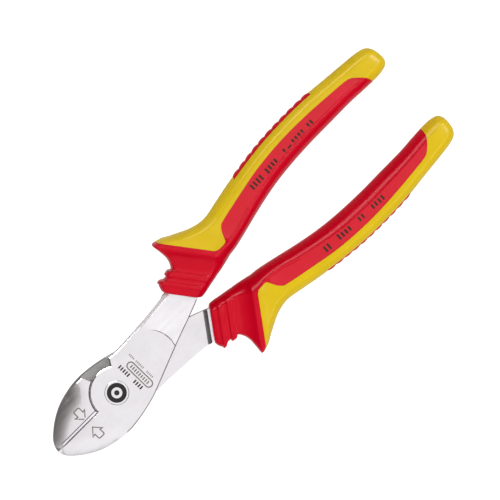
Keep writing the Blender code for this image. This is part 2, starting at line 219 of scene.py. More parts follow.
def smooth(points, steps):
    """A smooth curve through the points, with this many steps between two of them."""
    before = 2 * Vector(points[0]) - Vector(points[1])
    after = 2 * Vector(points[-1]) - Vector(points[-2])
    control = [before, *(Vector(p) for p in points), after]
    found = []
    for a, b, c, d in zip(control, control[1:], control[2:], control[3:]):
        slope = c - a
        bend = 2 * a - 5 * b + 4 * c - d
        twist = 3 * b - a - 3 * c + d
        for step in range(steps):
            t = step / steps
            found.append(0.5 * (2 * b + slope * t + bend * t**2 + twist * t**3))
    return found + [Vector(points[-1])]


def arc(radius, start, end, count, centre=(0.0, 0.0)):
    """Points on a circle from one angle to another, in degrees."""
    angles = [math.radians(start + (end - start) * i / count) for i in range(count + 1)]
    return [Vector((centre[0] + radius * math.cos(a), centre[1] + radius * math.sin(a))) for a in angles]


def polar(radius, degrees):
    """The point at this distance and angle from the pivot."""
    return Vector((radius * math.cos(math.radians(degrees)), radius * math.sin(math.radians(degrees))))


def on_slant(distance, y):
    """The point at this y on the slanted line that lies this far along the slanted normal."""
    return Vector(((distance - SLANT_NORMAL.y * y) / SLANT_NORMAL.x, y))


def inset(outline, by):
    """A closed outline drawn in by this much. The outline runs clockwise."""
    found = []
    for i, p in enumerate(outline):
        before, after = p - outline[i - 1], outline[(i + 1) % len(outline)] - p
        n1 = Vector((before.y, -before.x)).normalized()
        n2 = Vector((after.y, -after.x)).normalized()
        n = (n1 + n2).normalized()
        found.append(p + n * by / max(0.5, n.dot(n1)))
    return found


def prism(name, outline, low, high):
    """A solid with this outline between two heights. The lower height may be a function of x."""
    level = low if callable(low) else lambda x: low
    return loft(name, [[(p.x, p.y, level(p.x)) for p in outline], [(p.x, p.y, high) for p in outline]])


def turned(name, profile, sides=96):
    """A solid of revolution about Z from a profile of radius and height."""
    turns = [2 * math.pi * i / sides for i in range(sides)]
    return loft(name, [[(r * math.cos(a), r * math.sin(a), z) for a in turns] for r, z in profile])


def combine(item, other, operation):
    """The item after this operation with the other, which is used up."""
    modifier = item.modifiers.new(operation.title(), "BOOLEAN")
    modifier.operation = operation
    modifier.solver = "MANIFOLD"
    modifier.object = other
    bpy.context.view_layer.update()
    graph = bpy.context.evaluated_depsgraph_get()
    result = bpy.data.meshes.new_from_object(item.evaluated_get(graph))
    item.modifiers.clear()
    item.data = result
    bpy.data.objects.remove(other)
    return item


# ---------------------------------------------------------------------------------------------
# Forgings
# ---------------------------------------------------------------------------------------------
def lever_outline():
    """The lever's outline in plan, clockwise from the jaw's tip."""
    cut = [Vector((JAW_TIP_X, -EDGE_GAP)), Vector((-DISC_RADIUS, -EDGE_GAP))]
    disc = arc(DISC_RADIUS, CUT_ANGLE, NOTCH_ANGLE, 40)
    outer = [Vector(NECK_OUTER[0])] + smooth(NECK_OUTER[1:], 6)
    tang = smooth([NECK_OUTER[-1], *TANG_OUTER], 3)[1:]
    back = smooth([*TANG_INNER, NECK_INNER[-1]], 3)
    neck = smooth(NECK_INNER[::-1], 6)[1:]
    joint = smooth(JOINT_EDGE[::-1], 6)[1:]
    jaw = smooth(JAW_OUTER[::-1], 8)[1:]
    return cut + disc + outer + tang + [Vector(TANG_END)] + back + neck + joint + jaw


def sliding_cutter():
    """The half of the joint that the other lever fills, up to the riser before the tang."""
    far, jaw_side, top = -2.0 * DISC_RADIUS, 0.4, 25.0

    def outline(riser_at):
        hollow = arc(RECESS_RADIUS, CUT_ANGLE, 360 - SHOULDER_ANGLE, 40)
        shoulder = polar(OUTSIDE, 360 - SHOULDER_ANGLE)
        riser = [on_slant(riser_at, -WELL_OUTSIDE), on_slant(riser_at, top)]
        corner = [Vector((far, top)), Vector((far, jaw_side))]
        return hollow + [shoulder] + riser + corner + [Vector((-RECESS_RADIUS, jaw_side))]

    # The riser curves back towards the joint: height, and its share of the way back.
    curve = [(-TANG_HALF_THICK, 0.0), (-2.4, 0.44), (-1.5, 0.72), (-0.6, 0.88), (SLIDE_GAP, 1.0)]
    rings = []
    for z, share in [(-HALF_THICK - 1.0, 0.0), *curve]:
        rings.append([(p.x, p.y, z) for p in outline(RISER_TOP_AT - RISER_BACK * share)])
    return loft("sliding_cutter", rings)


def neck_level(x):
    """Height of the neck's front face at this x."""
    start = BOSS_CENTRE_X + BOSS_RADIUS
    fall = (NECK_Z - NECK_END_Z) / (on_slant(MOUTH_AT, 8.0).x - start)
    return NECK_Z - fall * (x - start)


def neck_cutter():
    """What lies in front of the sloping neck, past the round boss."""
    past_neck = 50.0
    rim = arc(BOSS_RADIUS, -90, 90, 48, (BOSS_CENTRE_X, BOSS_CENTRE_Y))
    corners = [
        (BOSS_CENTRE_X, OUTSIDE), (past_neck, OUTSIDE), (past_neck, -OUTSIDE), (BOSS_CENTRE_X, -OUTSIDE),
    ]
    return prism("neck_cutter", rim + [Vector(p) for p in corners], neck_level, HALF_THICK + ABOVE_FACE)


def neck_ramp_cutter():
    """The ramp from the joint's face down to the neck, round the boss."""
    top, run = 8.0, 0.8
    rings = []
    for p in arc(BOSS_RADIUS, -48, 48, 40, (0.0, 0.0)):
        z = neck_level(BOSS_CENTRE_X + p.x)
        out = p.normalized()
        upper = out * (BOSS_RADIUS - run * (HALF_THICK - z))
        lower = out * (BOSS_RADIUS + 0.03)
        points = [(upper, HALF_THICK + 0.01), (lower, z), (lower, top), (upper, top)]
        rings.append([(BOSS_CENTRE_X + q.x, BOSS_CENTRE_Y + q.y, h) for q, h in points])
    return loft("neck_ramp_cutter", rings)


def neck_edge_cutter():
    """The drafted side of the neck, which widens towards the grip, with a small chamfer along its top."""
    first_width, last_width, foot, beyond = 0.25, 1.4, 0.3, 1.0
    chamfer, chamfer_drop = 0.3, 0.24
    rings = []
    path = smooth(NECK_OUTER[3:] + [(40.0, 12.9)], 6)
    for i, p in enumerate(path):
        edge = p.y - first_width - (last_width - first_width) * i / (len(path) - 1)
        z = NECK_Z - (NECK_Z - NECK_END_Z) * max(0.0, (p.x - NECK_SIDE_START) / 13.0)
        section = [(edge - chamfer, z + 0.01), (edge, z - chamfer_drop), (p.y + 0.01, foot)]
        section += [(p.y + beyond, foot), (p.y + beyond, z + ABOVE_FACE), (edge - chamfer, z + ABOVE_FACE)]
        rings.append([(p.x, y, h) for y, h in section])
    return loft("neck_edge_cutter", rings)


def tang_cutter(side, start):
    """What lies in front of the flat tang, or behind it, from this place along the slanted normal."""
    plan = [
        on_slant(start, -WELL_OUTSIDE), Vector((GRIP_END_X, -WELL_OUTSIDE)),
        Vector((GRIP_END_X, PAST_GRIPS)), on_slant(start, PAST_GRIPS),
    ]
    low, high = sorted((side * TANG_HALF_THICK, side * (HALF_THICK + 1.0)))
    return prism("tang_cutter", plan, low, high)


def jaw_fall(x, y, edge):
    """How far the jaw's face lies below the joint's, at a point this far inside the jaw's outer edge."""
    run = FACE_START_X - x + FACE_BEND * (abs(y) - FACE_BEND_START) ** 2
    rounding = min(1.0, max(0.0, (EDGE_ROUND_X - x) / EDGE_ROUND_RUN))
    return FACE_SLOPE * run + rounding * EDGE_FALL * max(0.0, 1.0 - edge / EDGE_ROUND_WIDTH) ** 2


def jaw_face_cutter(side):
    """What lies above the jaw's face, from spokes that run from past the cut to past the outer edge."""
    past, columns, root_y = 1.2, 18, 1.0
    back, tip = JAW_OUTER[-1][0], JAW_TIP_X + 2.5
    spokes = [(Vector((JAW_TIP_X - 1.5, root_y)), Vector((JAW_TIP_X - 1.8, -2.6)))]
    for p in smooth(JAW_OUTER, 6):
        root = Vector((back + (tip - back) * (p.x - back) / (JAW_OUTER[0][0] - back), root_y))
        spokes.append((root, p + (p - root).normalized() * past))
    rings = []
    for root, rim in spokes:
        line = [root + (rim - root) * i / columns for i in range(columns + 1)]
        face = [HALF_THICK - max(-1.0, jaw_fall(q.x, q.y, (rim - q).length - past)) for q in line]
        low = [(q.x, q.y, side * z) for q, z in zip(line, face)]
        rings.append(low + [(q.x, q.y, side * (HALF_THICK + 2.0)) for q in (line[-1], line[0])])
    return loft("jaw_face_cutter", rings)


def along_cut(name, side, profile):
    """A cutter with this profile, its heights counted from the jaw's face, all along the cutting edge."""
    rings = []
    for x in (JAW_TIP_X - 1.0, FACE_START_X, -DISC_RADIUS - 0.15):
        face = HALF_THICK - FACE_SLOPE * max(0.0, FACE_START_X - x)
        rings.append([(x, y, side * (face + z)) for y, z in profile])
    return loft(name, rings)


def edge_bevel_cutters(side, width, depth):
    """The edge's own bevel and, where it is a wide land, the groove that ends the land."""
    wide = width > WIDE_BEVEL
    end, end_z = (LAND_GROOVE - width, -LAND_DROP) if wide else (-width, 0.0)
    bevel = [(CUT_MARGIN, -depth - 1.0), (-0.12, -depth), (end, end_z)]
    bevel += [(end, ABOVE_FACE), (CUT_MARGIN, ABOVE_FACE)]
    cutters = [along_cut("edge_bevel_cutter", side, bevel)]
    if wide:
        near = end + 0.01
        groove = [(near, end_z), (-width, end_z - LAND_GROOVE), (-width - 0.02, ABOVE_FACE)]
        groove.append((near, ABOVE_FACE))
        cutters.append(along_cut("land_groove_cutter", side, groove))
    return cutters


def neck_inner_chamfer():
    """A small chamfer along the neck's inner edge."""
    drop, beyond, top = 0.36, 1.0, 9.0
    rings = []
    for p in smooth(NECK_INNER, 8):
        z = min(HALF_THICK, neck_level(p.x))
        section = [(p.y + NECK_CHAMFER, z + 0.01), (p.y - 0.05, z - drop), (p.y - beyond, z - drop)]
        section += [(p.y - beyond, top), (p.y + NECK_CHAMFER, top)]
        rings.append([(p.x, y, h) for y, h in section])
    return loft("neck_inner_chamfer", rings)


def forging():
    """One lever: jaw, half of the joint, neck and tang. Both levers have this shape."""
    outline = lever_outline()
    drawn = inset(outline, EDGE_CHAMFER)
    layers = [
        (-HALF_THICK, drawn), (-HALF_THICK + EDGE_CHAMFER_DEPTH, outline),
        (HALF_THICK - EDGE_CHAMFER_DEPTH, outline), (HALF_THICK, drawn),
    ]
    lever = loft("forging", [[(p.x, p.y, z) for p in ring] for z, ring in layers])
    cutters = [sliding_cutter(), neck_cutter(), neck_ramp_cutter()]
    cutters += [neck_edge_cutter(), neck_inner_chamfer()]
    cutters += [tang_cutter(-1, RISER_TOP_AT), tang_cutter(1, MOUTH_AT - 0.3)]
    for side, (width, depth) in CUT_BEVELS.items():
        cutters += edge_bevel_cutters(side, width, depth)
    cutters += [jaw_face_cutter(side) for side in CUT_BEVELS]
    head, shank = RIVET_HEAD_RADIUS + RIVET_GAP, RIVET_SHANK_RADIUS + RIVET_GAP
    profile = [(head, HALF_THICK + 1.0), (head, RIVET_HEAD_Z), (shank, RIVET_SHANK_Z)]
    profile = [(radius, -z) for radius, z in profile] + profile[::-1]
    cutters.append(turned("rivet_hole", profile))
    for cutter in cutters:
        combine(lever, cutter, "DIFFERENCE")
    return lever


def rivet_blank():
    """The rivet: a plain shank with a countersunk head at each end."""
    half = [
        (0.01, HALF_THICK), (4.15, HALF_THICK), (4.28, 5.4), (RIVET_HEAD_RADIUS, RIVET_HEAD_Z),
        (RIVET_SHANK_RADIUS, RIVET_SHANK_Z),
    ]
    return turned("rivet_blank", [(radius, -z) for radius, z in half] + half[::-1])


# ---------------------------------------------------------------------------------------------
# Grips
# ---------------------------------------------------------------------------------------------
SIDE_STEPS, PANEL_STEPS, FLANK_STEPS = 10, 5, 12
SIDE_TURN = math.radians(74)
SIDE_DROP = 0.12
TOP_SHARE = 0.985
RIDGE_WIDTH, RIDGE_DROP = 0.35, 0.14
PANEL_HOLLOW = 0.03
FLANK_POWER = 0.92
SPLIT_GAP = 0.04
RIB_SEAT_GAP = 0.08


def grip_ring(outer, inner, thick, ridge, flank):
    """One section: rounded inner side, raised ridge, flat panel, rounded outer flank."""
    width = (outer - inner).length
    across = (outer - inner) / width
    top = thick * TOP_SHARE
    half = []
    for i in range(SIDE_STEPS + 1):
        a = SIDE_TURN * i / SIDE_STEPS
        u = ridge * (1 - math.cos(a)) / (1 - math.cos(SIDE_TURN))
        half.append((u, (top - SIDE_DROP) * math.sin(a) / math.sin(SIDE_TURN)))
    step = RIDGE_WIDTH / width
    first, last = ridge + 3.4 * step, 1 - flank
    high = top - RIDGE_DROP
    low = high - PANEL_HOLLOW * thick
    half += [(ridge + step, top), (ridge + 2 * step, top - 0.01), (first, high)]
    for i in range(1, PANEL_STEPS):
        share = i / PANEL_STEPS
        half.append((first + (last - first) * share, high + (low - high) * share))
    for i in range(FLANK_STEPS + 1):
        a = math.pi / 2 * (1 - i / FLANK_STEPS)
        half.append((last + flank * math.cos(a) ** FLANK_POWER, low * math.sin(a) ** FLANK_POWER))
    upper = [(inner + across * width * u, v) for u, v in half]
    return [(p.x, p.y, z) for p, z in upper] + [(p.x, p.y, -z) for p, z in upper[-2:0:-1]]


def envelope(name, steps=4):
    """The whole grip, red and yellow together."""
    rows = [(on_slant(at, outer), on_slant(at, inner), *rest) for at, outer, inner, *rest in COLLAR]
    rows += HANDLE
    outers = smooth([r[0] for r in rows], steps)
    inners = smooth([r[1] for r in rows], steps)
    thicks, ridges, flanks = (smooth([(i, r[k]) for i, r in enumerate(rows)], steps) for k in (2, 3, 4))
    parts = zip(outers, inners, thicks, ridges, flanks)
    return loft(name, [grip_ring(o, i, thick.y, ridge.y, flank.y) for o, i, thick, ridge, flank in parts])


def red_zone(gap):
    """All that is red in plan: inside the guard's line and the red edge, which are moved by the gap."""
    left, below = 25.0, -10.0
    edge = [Vector(p) for p in GUARD_LINE] + smooth(RED_EDGE, 6)
    shifted = []
    for i, p in enumerate(edge):
        along = edge[min(i + 1, len(edge) - 1)] - edge[max(i - 1, 0)]
        shifted.append(p + Vector((-along.y, along.x)).normalized() * gap)
    corners = [(RED_EDGE[-1][0] + gap, below), (left, below), (left, GUARD_LINE[0][1])]
    return prism("red_zone", shifted + [Vector(p) for p in corners], -OUTSIDE, OUTSIDE)


def outer_y(x):
    """The y of the grip's outer side at this x."""
    rows = smooth([r[0] for r in HANDLE[:-2]], 8)
    for a, b in zip(rows, rows[1:]):
        if a.x <= x <= b.x:
            return a.y + (b.y - a.y) * (x - a.x) / (b.x - a.x)
    raise ValueError(x)


def rib_strip(gap):
    """The ribbed inlay or, with a gap, the plain strip that cuts its seat."""
    # Share of the half width, and how far the strip has dropped there.
    crown = [(1.0, 1.3), (0.93, 0.95), (0.8, 0.62), (0.6, 0.3), (0.35, 0.1), (0.0, 0.0)]
    half = RIB_HALF_WIDTH + gap
    steps = RIB_COUNT * 10
    rings = []
    for step in range(steps + 1):
        x = RIB_START - gap + (RIB_END - RIB_START + 2 * gap) * step / steps
        bump = 2.0 if gap else RIB_HEIGHT * abs(math.sin(math.pi * RIB_COUNT * step / steps)) ** 0.8
        foot = outer_y(x) - RIB_DEPTH - gap
        top = outer_y(x) + bump
        side = [(x, top - drop, share * half) for share, drop in crown]
        other_side = [(x, y, -z) for x, y, z in side[-2::-1]]
        rings.append([(x, foot, half), *side, *other_side, (x, foot, -half)])
    return loft("rib_strip", rings)


def overmould():
    """The red part of the grip."""
    return combine(envelope("overmould"), red_zone(0.0), "INTERSECT")


def core():
    """The yellow part of the grip, with the ribs' seat."""
    yellow = combine(envelope("core"), red_zone(SPLIT_GAP), "DIFFERENCE")
    return combine(yellow, rib_strip(RIB_SEAT_GAP), "DIFFERENCE")


# ---------------------------------------------------------------------------------------------
# Materials
# ---------------------------------------------------------------------------------------------
NOISE_RANGE = (0.3, 0.7)


def new_material(name):
    made = bpy.data.materials.new(name)
    made.use_nodes = True
    return made, made.node_tree, made.node_tree.nodes["Principled BSDF"]


def node(tree, kind, **inputs):
    made = tree.nodes.new(kind)
    for key, value in inputs.items():
        made.inputs[key.replace("_", " ")].default_value = value
    return made


def ramp(tree, factor, low, high, start=0.0, end=1.0):
    """A colour or a grey between low and high, as the factor goes from start to end."""
    made = tree.nodes.new("ShaderNodeValToRGB")
    for element, position, colour in zip(made.color_ramp.elements, (start, end), (low, high)):
        element.position = position
        element.color = (*colour, 1.0) if isinstance(colour, tuple) else (colour, colour, colour, 1.0)
    tree.links.new(factor, made.inputs["Fac"])
    return made.outputs["Color"]


def steel_material(name, low, high, rough, metallic=1.0):
    """Steel with a cloudy colour and a fine grain along X."""
    made, tree, shader = new_material(name)
    place = tree.nodes.new("ShaderNodeTexCoord")
    stretch = node(tree, "ShaderNodeMapping", Scale=(60.0, 900.0, 300.0))
    tree.links.new(place.outputs["Object"], stretch.inputs["Vector"])
    lines = node(tree, "ShaderNodeTexNoise", Scale=1.0, Detail=4.0, Roughness=0.6)
    tree.links.new(stretch.outputs["Vector"], lines.inputs["Vector"])
    cloud = node(tree, "ShaderNodeTexNoise", Scale=160.0, Detail=5.0, Roughness=0.6)
    tree.links.new(place.outputs["Object"], cloud.inputs["Vector"])
    colour = ramp(tree, cloud.outputs["Fac"], low, high, *NOISE_RANGE)
    tree.links.new(colour, shader.inputs["Base Color"])
    polish = ramp(tree, lines.outputs["Fac"], rough - 0.05, rough + 0.07, *NOISE_RANGE)
    tree.links.new(polish, shader.inputs["Roughness"])
    bump = node(tree, "ShaderNodeBump", Strength=0.04, Distance=0.0001)
    tree.links.new(lines.outputs["Fac"], bump.inputs["Height"])
    tree.links.new(bump.outputs["Normal"], shader.inputs["Normal"])
    shader.inputs["Metallic"].default_value = metallic
    return made


def plastic_material(name, low, high, rough, specular, grain):
    """Plastic or print with a cloudy colour and a fine moulded grain."""
    made, tree, shader = new_material(name)
    place = tree.nodes.new("ShaderNodeTexCoord")
    cloud = node(tree, "ShaderNodeTexNoise", Scale=90.0, Detail=4.0, Roughness=0.55)
    fine = node(tree, "ShaderNodeTexNoise", Scale=2600.0, Detail=3.0, Roughness=0.6)
    for texture in (cloud, fine):
        tree.links.new(place.outputs["Object"], texture.inputs["Vector"])
    colour = ramp(tree, cloud.outputs["Fac"], low, high, *NOISE_RANGE)
    tree.links.new(colour, shader.inputs["Base Color"])
    polish = ramp(tree, cloud.outputs["Fac"], rough - 0.04, rough + 0.05, *NOISE_RANGE)
    tree.links.new(polish, shader.inputs["Roughness"])
    bump = node(tree, "ShaderNodeBump", Strength=grain, Distance=0.0001)
    tree.links.new(fine.outputs["Fac"], bump.inputs["Height"])
    tree.links.new(bump.outputs["Normal"], shader.inputs["Normal"])
    shader.inputs["Specular IOR Level"].default_value = specular
    return made


STEEL = steel_material("satin_chrome", (0.80, 0.775, 0.80), (0.86, 0.835, 0.86), 0.22)
# Painted shade: a dark copy of the steel for the joint's pocket, the riser, the side walls and the ramp,
# where shade falls.
SHADED_STEEL = steel_material("painted_shade_steel", (0.28, 0.27, 0.27), (0.38, 0.37, 0.37), 0.38)
# Painted light: a less metallic copy of the steel, so that the overhead light brightens the neck's drafted
# side.
LIT_SIDE_STEEL = steel_material("painted_light_side_steel", (0.76, 0.74, 0.76), (0.82, 0.80, 0.82), 0.60, 0.3)
PIN = steel_material("ground_rivet", (0.80, 0.785, 0.80), (0.86, 0.85, 0.86), 0.20)
RED = plastic_material("red_plastic", (0.55, 0.0002, 0.013), (0.59, 0.0004, 0.016), 0.22, 0.12, 0.02)
RED_PANEL = plastic_material(
    "matte_red_panel", (0.58, 0.0002, 0.013), (0.63, 0.0005, 0.016), 0.50, 0.22, 0.25
)
YELLOW = plastic_material("yellow_plastic", (0.655, 0.455, 0.0001), (0.70, 0.487, 0.0002), 0.29, 0.16, 0.02)
INK = plastic_material("dark_print", (0.045, 0.016, 0.010), (0.070, 0.026, 0.016), 0.5, 0.1, 0.1)
ETCH = plastic_material("laser_mark", (0.010, 0.009, 0.009), (0.022, 0.020, 0.019), 0.5, 0.2, 0.1)
LIGHT_ETCH = plastic_material("light_laser_mark", (0.13, 0.12, 0.11), (0.20, 0.185, 0.17), 0.5, 0.3, 0.1)


# ---------------------------------------------------------------------------------------------
# Assembly
# ---------------------------------------------------------------------------------------------
SHARP_ANGLE = math.radians(32)
HALVES = {
    "front": Matrix.Translation((0, 0, MID_Z * MM)),
    "back": Matrix.Translation((0, 0, MID_Z * MM)) @ Matrix.Rotation(math.pi, 4, "X"),
}


def place(item, name, half, material, slot, *replaced):
    """A piece of one half of the tool, with the mesh of item turned into that half's place."""
    mesh = item.data.copy()
    mesh.name = name
    mesh.transform(HALVES[half])
    picked = [face.material_index for face in mesh.polygons]
    mesh.materials.clear()
    looks = material if isinstance(material, tuple) else (material,)
    for look in looks:
        mesh.materials.append(look)
    mesh.polygons.foreach_set("material_index", picked if len(looks) > 1 else [0] * len(picked))
    mesh.shade_smooth()
    mesh.set_sharp_from_angle(angle=SHARP_ANGLE)
    piece = link(name, mesh)
    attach(piece, f"{half}_half")
    if replaced:
        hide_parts(*replaced)
    return piece


def is_painted_shade(face):
    """The faces painted dark as shade: the joint's pocket, the riser, the forged side walls and the ramp to
    the neck.
    """
    centre = face.center / MM
    along = centre.x * SLANT_NORMAL.x + centre.y * SLANT_NORMAL.y
    tilt = abs(face.normal.z)
    flat = tilt > 0.97
    pocket = abs(centre.z) < 0.6 and flat and centre.x < POCKET_SHADE_END
    at_riser = RISER_FOOT_AT - 1 < abs(along) < RISER_TOP_AT + 0.5
    riser = at_riser and -TANG_HALF_THICK <= centre.z < SLIDE_GAP and not flat
    jaw_wall = centre.x < 6.0 and centre.y < -1.0 and tilt < 0.5
    neck_wall = 12.0 < centre.x < 42.0 and face.normal.y < -0.25 and tilt < 0.85
    ramp = 22.0 < centre.x < 28.0 and centre.z > 4.5 and 0.4 < tilt < 0.97
    return pocket or riser or jaw_wall or neck_wall or ramp


def is_lit_side(face):
    """The drafted outer side of the neck, which gets painted light: a less metallic copy of the steel."""
    return 18.0 < face.center.x / MM < 42.0 and face.normal.y > 0.6 and face.center.y > 0.0


def is_panel(face):
    """The matte panel on both sides of the handle, between the ridge and the yellow."""
    return abs(face.normal.z) > 0.965 and PANEL_START < face.center.x / MM < PANEL_END


def split_material(item, *rules):
    """Gives each face the place of the first rule that picks it, counted from 1, or else 0."""
    for face in item.data.polygons:
        face.material_index = next((i for i, rule in enumerate(rules, 1) if rule(face)), 0)


def divide_at(item, x):
    """Divides the faces that cross this x, so that a rule can pick one side of them."""
    shape = bmesh.new()
    shape.from_mesh(item.data)
    everything = shape.verts[:] + shape.edges[:] + shape.faces[:]
    bmesh.ops.bisect_plane(
        shape, geom=everything, dist=1e-7, plane_co=(x * MM, 0, 0), plane_no=(1, 0, 0)
    )
    shape.to_mesh(item.data)
    shape.free()


lever, yellow, red, ribs = forging(), core(), overmould(), rib_strip(0.0)
divide_at(lever, POCKET_SHADE_END)
# Painted shade on the pocket, riser, walls and ramp; painted light on the neck's drafted side.
split_material(lever, is_painted_shade, is_lit_side)
split_material(red, is_panel)
surfaces = {}
LEVER_LOOKS = (STEEL, SHADED_STEEL, LIT_SIDE_STEEL)
for half in HALVES:
    surfaces[half, "lever"] = place(
        lever, f"{half}_forging", half, LEVER_LOOKS, "forged_steel", f"{half}_lever"
    )
    place(yellow, f"{half}_yellow_sleeve", half, YELLOW, "yellow_plastic", f"{half}_grip_core")
    surfaces[half, "red"] = place(
        red, f"{half}_red_overmould", half, (RED, RED_PANEL), "red_plastic", f"{half}_grip_overmould"
    )
    place(ribs, f"{half}_ribbed_inlay", half, RED, "red_plastic", f"{half}_grip_rib_inlay")
rivet = rivet_blank()
surfaces["rivet"] = place(rivet, "flush_rivet", "back", PIN, "rivet_steel", "pivot_rivet")
for item in (lever, yellow, red, ribs, rivet):
    bpy.data.objects.remove(item)


# ---------------------------------------------------------------------------------------------
# Marks
# ---------------------------------------------------------------------------------------------
MARK_LIFT = 0.012
MARK_SINK = 0.05
RAY_START_Z = 50.0


def stroke(points, width, closed=True, step=0.7):
    """The quads of a line of this width through the points."""
    points = [Vector(p) for p in points]
    count = len(points)
    sides = []
    for i, p in enumerate(points):
        before = points[i - 1] if closed or i else p - (points[1] - p)
        after = points[(i + 1) % count] if closed or i < count - 1 else p + (p - points[i - 1])
        n1 = Vector((-(p - before).y, (p - before).x)).normalized()
        n2 = Vector((-(after - p).y, (after - p).x)).normalized()
        n = (n1 + n2).normalized()
        n *= 0.5 * width / max(0.4, n.dot(n1))
        sides.append((p + n, p - n))
    quads = []
    for i in range(count if closed else count - 1):
        (a, b), (c, d) = sides[i], sides[(i + 1) % count]
        cuts = max(1, math.ceil((points[(i + 1) % count] - points[i]).length / step))
        for j in range(cuts):
            t, u = j / cuts, (j + 1) / cuts
            quads.append([a.lerp(c, t), a.lerp(c, u), b.lerp(d, u), b.lerp(d, t)])
    return quads


def block(middle, along, length, width, step=0.7):
    """The quads of a rectangle about its middle, its length along this direction."""
    along = Vector(along).normalized() * length / 2
    middle = Vector(middle)
    return stroke([middle - along, middle + along], width, closed=False, step=step)


def disc_ring(outer, inner, sides=64):
    """The quads of a flat ring about the pivot."""
    turns = [2 * math.pi * i / sides for i in range(sides)]
    rim = [Vector((math.cos(a), math.sin(a))) for a in turns]
    return [[a * inner, a * outer, b * outer, b * inner] for a, b in zip(rim, rim[1:] + rim[:1])]


def drape(name, quads, half, targets, material):
    """A thin mark laid on the front of the targets, from quads of (x, y) points."""
    graph = bpy.context.evaluated_depsgraph_get()
    trees = [BVHTree.FromObject(target.evaluated_get(graph), graph) for target in targets]
    shape = bmesh.new()
    known = {}

    def corner(p):
        key = (round(p.x, 4), round(p.y, 4))
        if key not in known:
            start = Vector((p.x, p.y, RAY_START_Z)) * MM
            found = [tree.ray_cast(start, Vector((0, 0, -1)))[0] for tree in trees]
            if not any(found):
                raise ValueError(f"{name} misses its surface at {p}")
            z = max(hit.z for hit in found if hit)
            levels = (z + MARK_LIFT * MM, z - MARK_SINK * MM)
            known[key] = [shape.verts.new((start.x, start.y, level)) for level in levels]
        return known[key]

    edges = {}
    for quad in quads:
        pairs = [corner(p) for p in quad]
        keys = [(round(p.x, 4), round(p.y, 4)) for p in quad]
        area = sum(a.x * b.y - b.x * a.y for a, b in zip(quad, quad[1:] + quad[:1]))
        if area < 0:
            pairs, keys = pairs[::-1], keys[::-1]
        shape.faces.new([pair[0] for pair in pairs])
        shape.faces.new([pair[1] for pair in pairs[::-1]])
        for i in range(4):
            edges[keys[i], keys[(i + 1) % 4]] = (pairs[i], pairs[(i + 1) % 4])
    for (a, b), (first, second) in edges.items():
        if (b, a) not in edges:
            shape.faces.new((second[0], first[0], first[1], second[1]))
    mesh = bpy.data.meshes.new(name)
    shape.to_mesh(mesh)
    shape.free()
    mesh.materials.append(material)
    piece = link(name, mesh)
    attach(piece, f"{half}_half")
    return piece


def arrow(side, shift):
    """The outline of an arrow that points at the cut, on the jaw at this side of it."""
    plan = [
        (-16.0, 6.5), (-15.6, 6.8), (-13.8, 6.8), (-13.45, 6.5), (-13.45, 4.5), (-12.45, 4.75),
        (-14.75, 2.15), (-17.15, 4.75), (-16.0, 4.5),
    ]
    return stroke([(x + shift.x, y * side + shift.y) for x, y in plan], 0.42)


def capsule(x_low, x_high, y_low, y_high, width):
    """The outline of a capsule that stands along Y."""
    radius = (x_high - x_low) / 2
    middle = (x_low + x_high) / 2
    outline = arc(radius, 0, 180, 10, (middle, y_high - radius))
    outline += arc(radius, 180, 360, 10, (middle, y_low + radius))
    return stroke(outline, width)


def row(start, end, pitch, gaps, length, width):
    """Plain bars set square to the line from start to end, with some of them left out."""
    start, end = Vector(start), Vector(end)
    along = (end - start).normalized()
    across = Vector((-along.y, along.x))
    quads = []
    for i in range(int((end - start).length / pitch) + 1):
        if i not in gaps:
            quads += block(start + along * pitch * i, across, length, width)
    return quads


front, back = surfaces["front", "lever"], surfaces["back", "lever"]
pin = surfaces["rivet"]
HEAD_BARS = row((7.3, -4.9), (7.3, 5.9), 1.06, (4, 5), 1.5, 0.55)
HEAD_CAPSULE = capsule(8.9, 11.6, -7.1, 4.5, 0.45)
CAPSULE_FILL = row((10.25, -5.3), (10.25, 3.0), 1.02, (), 1.3, 0.5)
HEAD_DOTS = row((12.8, -5.0), (12.8, 6.3), 0.66, (5, 6, 13), 0.75, 0.3)
FRONT_PRINT = row((85.3, 16.9), (116.6, 17.9), 1.55, (4, 9, 10, 12, 13, 18), 2.3, 0.8)
FRONT_PRINT += block((104.7, 17.52), (1, 0.03), 1.7, 0.6)
BACK_PRINT = row((87.8, -17.1), (115.4, -18.4), 1.6, (2, 3, 8, 9, 12, 13), 2.4, 0.8)
drape("closing_arrow_upper", arrow(1, Vector((0.25, -0.75))), "back", [back], LIGHT_ETCH)
drape("closing_arrow_lower", arrow(-1, Vector((0.1, -0.25))), "front", [front], LIGHT_ETCH)
drape("rivet_mark_ring", disc_ring(3.55, 1.95), "back", [pin], ETCH)
drape("rivet_mark_dot", disc_ring(0.95, 0.05, 24), "back", [pin], ETCH)
drape("head_mark_bars", HEAD_BARS, "front", [front], ETCH)
drape("head_mark_capsule", HEAD_CAPSULE, "front", [front], LIGHT_ETCH)
drape("head_mark_fill", CAPSULE_FILL, "front", [front], LIGHT_ETCH)
drape("head_mark_dots", HEAD_DOTS, "front", [front], LIGHT_ETCH)
drape("handle_print_front", FRONT_PRINT, "front", [surfaces["front", "red"]], INK)
drape("handle_print_back", BACK_PRINT, "back", [surfaces["back", "red"]], INK)


